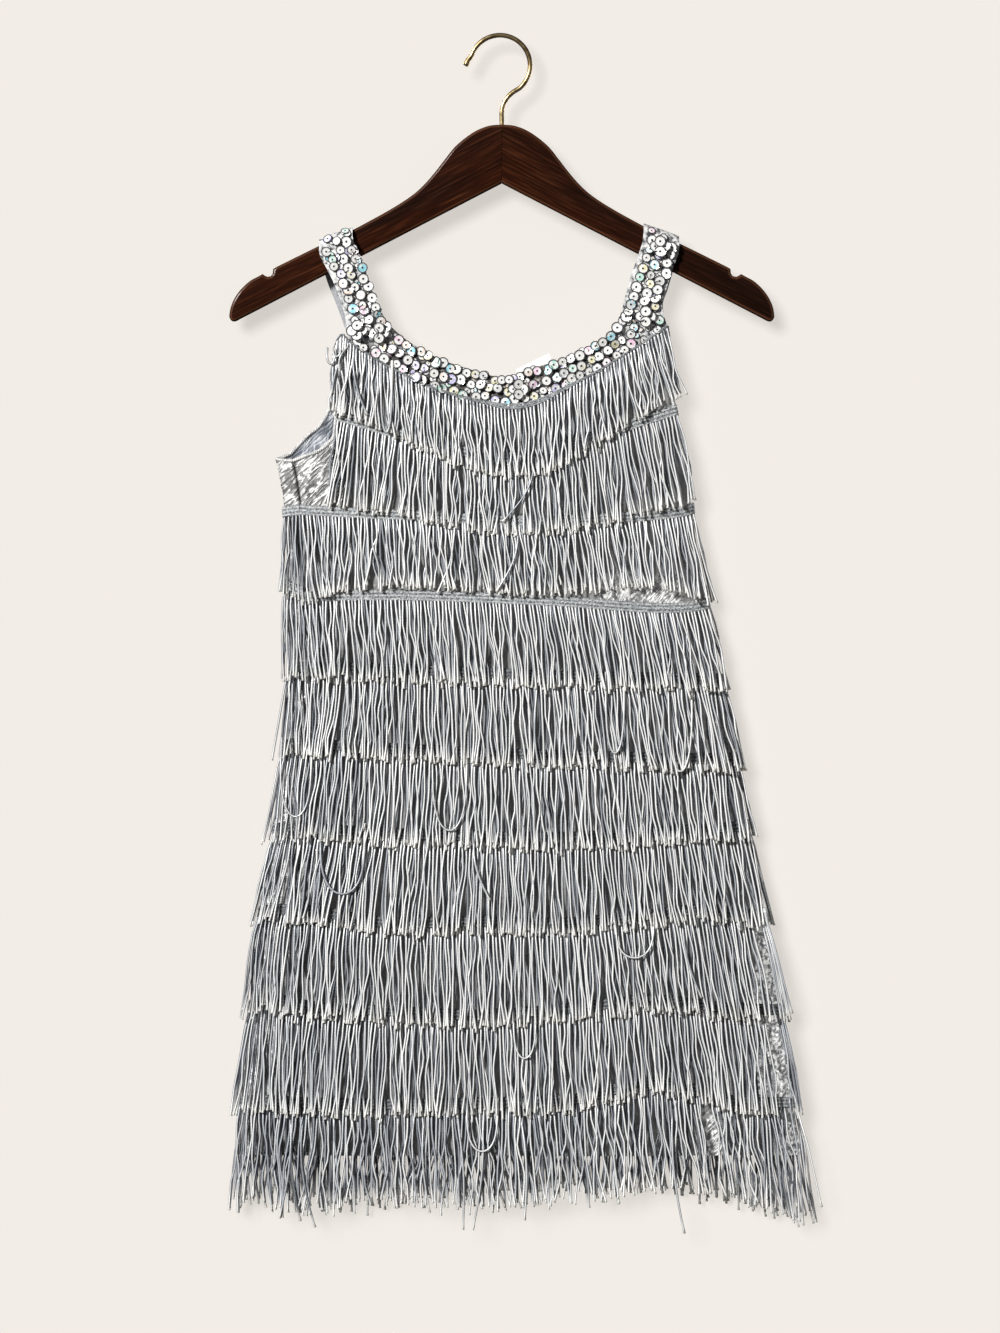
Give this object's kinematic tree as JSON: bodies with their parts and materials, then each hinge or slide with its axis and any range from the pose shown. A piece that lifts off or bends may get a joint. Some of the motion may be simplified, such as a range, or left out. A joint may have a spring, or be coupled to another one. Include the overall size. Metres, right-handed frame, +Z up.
{
  "type": "fringed sequin tank dress on a wooden hanger",
  "caption": "Sleeveless silver dress covered in tiers of cord fringe, with a sequinned neckband, hanging on a dark wooden hanger with a wire hook.",
  "frame": {"origin": "the top of the inside of the hook, where it rests on a rail", "axes": "+Z up, front of the dress faces -Y, +X to the right as seen from the front"},
  "size_m": [0.4825, 0.0617, 0.9675],
  "materials": {
    "satin": "crinkled silver foil satin",
    "fringe": "shiny silver grey cord",
    "sequins": "iridescent white sequins on silver cloth",
    "label": "matt white tape",
    "wood": "dark red brown satin lacquer",
    "brass": "antique brushed"
  },
  "bodies": {
    "root": {"front_panel": "satin", "back_panel": "satin", "neckband_front": "sequins", "neckband_back": "satin", "neck_label": "label", "fringe_front_01": "fringe", "fringe_front_02": "fringe", "fringe_front_03": "fringe", "fringe_front_04": "fringe", "fringe_front_05": "fringe", "fringe_front_06": "fringe", "fringe_front_07": "fringe", "fringe_front_08": "fringe", "fringe_front_09": "fringe", "fringe_front_10": "fringe", "fringe_back_01": "fringe", "fringe_back_02": "fringe", "fringe_back_03": "fringe", "fringe_back_04": "fringe", "fringe_back_05": "fringe", "fringe_back_06": "fringe", "fringe_back_07": "fringe", "fringe_back_08": "fringe", "fringe_back_09": "fringe", "fringe_back_10": "fringe", "hanger_left": "wood", "hanger_right": "wood", "hanger_hook": "brass"}
  },
  "joints": []
}
